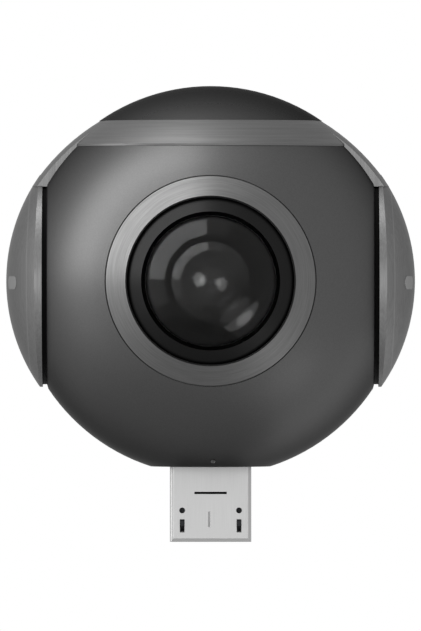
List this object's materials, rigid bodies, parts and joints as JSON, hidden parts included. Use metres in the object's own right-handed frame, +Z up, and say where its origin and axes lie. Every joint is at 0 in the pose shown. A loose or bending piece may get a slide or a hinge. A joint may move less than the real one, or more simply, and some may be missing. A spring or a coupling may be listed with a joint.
{
  "type": "360 degree camera",
  "caption": "Ball-shaped plug-in camera with a domed wide-angle lens on each face, side covers, a collar and a flat latching plug underneath.",
  "frame": {"origin": "centre of the flat base, where the plug leaves the ball", "axes": "+Z up through the ball away from the plug, +X to the right seen from the front, front lens towards -Y"},
  "size_m": [0.0344, 0.0364, 0.0383],
  "materials": {
    "shell_paint": "satin grey metallic paint on moulded plastic",
    "cover_aluminium": "bead-blasted and grey anodised",
    "collar_aluminium": "turned, brushed round and grey anodised",
    "ring_aluminium": "turned with fine circular brushing, grey anodised",
    "cap_plastic": "fine moulded texture",
    "retainer_plastic": "black, satin gloss",
    "black_plastic": "black, moulded",
    "gasket_rubber": "black, matte",
    "lens_glass": "polished, coated against reflections",
    "filter_glass": "polished, blue-green",
    "board_laminate": "green solder mask",
    "chip_resin": "black moulded resin",
    "sensor_glass": "dark cover glass over the chip",
    "pad_silicone": "soft grey-blue sheet",
    "bare_aluminium": "rolled sheet",
    "steel_sheet": "tinned sheet",
    "screw_steel": "plated",
    "plug_steel": "nickel-plated folded sheet",
    "latch_steel": "blued spring strip",
    "contact_gold": "gold flash on copper",
    "flex_film": "amber polyimide film",
    "light_acrylic": "clear acrylic"
  },
  "bodies": {
    "camera": {"front_shell": "shell_paint", "rear_shell": "shell_paint", "left_side_cover": "cover_aluminium", "right_side_cover": "cover_aluminium", "cover_gaskets": "gasket_rubber", "collar_ring": "collar_aluminium", "collar_screws": "screw_steel", "top_cap": "cap_plastic", "shell_seals": "gasket_rubber", "base_plate": "shell_paint", "plug_carrier": "black_plastic", "plug_shell": "plug_steel", "plug_insulator": "black_plastic", "plug_contacts": "contact_gold", "main_board": "board_laminate", "processor_chip": "chip_resin", "thermal_pad": "pad_silicone", "heat_spreader": "bare_aluminium", "memory_chip": "chip_resin", "power_chip": "chip_resin", "shield_can": "steel_sheet", "board_capacitors": "chip_resin", "status_light": "light_acrylic", "light_pipe": "light_acrylic", "flex_connectors": "black_plastic", "holder_screws": "screw_steel", "front_lens_ring": "ring_aluminium", "front_lens_retainer": "retainer_plastic", "front_dome_lens": "lens_glass", "front_lens_seal": "gasket_rubber", "front_lens_barrel": "black_plastic", "front_light_baffle": "black_plastic", "front_second_lens": "lens_glass", "front_relay_lens": "lens_glass", "front_aperture_stop": "black_plastic", "front_field_lens": "lens_glass", "front_infrared_filter": "filter_glass", "front_lens_holder": "black_plastic", "front_image_sensor": "sensor_glass", "front_sensor_board": "board_laminate", "front_sensor_flex": "flex_film", "rear_lens_ring": "ring_aluminium", "rear_lens_retainer": "retainer_plastic", "rear_dome_lens": "lens_glass", "rear_lens_seal": "gasket_rubber", "rear_lens_barrel": "black_plastic", "rear_light_baffle": "black_plastic", "rear_second_lens": "lens_glass", "rear_relay_lens": "lens_glass", "rear_aperture_stop": "black_plastic", "rear_field_lens": "lens_glass", "rear_infrared_filter": "filter_glass", "rear_lens_holder": "black_plastic", "rear_image_sensor": "sensor_glass", "rear_sensor_board": "board_laminate", "rear_sensor_flex": "flex_film"},
    "left_latch": {"left_latch": "latch_steel"},
    "right_latch": {"right_latch": "latch_steel"}
  },
  "joints": [
    {"name": "left_latch_spring", "type": "hinge", "parent": "camera", "child": "left_latch", "pos_m": [-0.00239, -0.00015, 0.0012], "axis": [1, 0, 0], "range_deg": [0, 2.5], "stiffness_Nm_per_rad": 0.15},
    {"name": "right_latch_spring", "type": "hinge", "parent": "camera", "child": "right_latch", "pos_m": [0.00239, -0.00015, 0.0012], "axis": [1, 0, 0], "range_deg": [0, 2.5], "stiffness_Nm_per_rad": 0.15}
  ]
}
